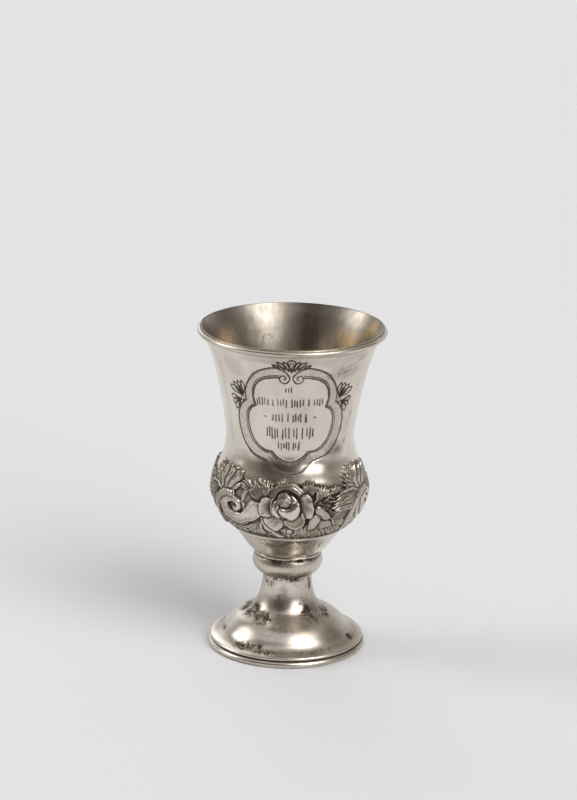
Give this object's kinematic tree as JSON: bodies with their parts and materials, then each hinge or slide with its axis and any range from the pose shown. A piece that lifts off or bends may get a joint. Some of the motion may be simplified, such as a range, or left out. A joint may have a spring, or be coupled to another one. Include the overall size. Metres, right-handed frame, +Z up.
{
  "type": "kiddush cup",
  "caption": "Footed silver goblet for the wine blessing: flared beaker with engraved cartouche over a repousse belly frieze, bead knop and domed foot.",
  "frame": {"origin": "centre of the foot's underside, on the surface the cup stands on", "axes": "+Z up along the cup's axis; -Y is the front, where the engraved cartouche is; +X is to the right seen from the front"},
  "size_m": [0.0738, 0.0738, 0.13],
  "materials": {
    "silver": "polished silver, tarnished in the hollows of the frieze and in the engraved lines",
    "worn_silver": "old polished silver with dark tarnish in seams and pits"
  },
  "bodies": {
    "root": {"bowl": "silver", "lip_wire": "silver", "knop": "worn_silver", "foot": "worn_silver", "foot_wire": "worn_silver"}
  },
  "joints": []
}
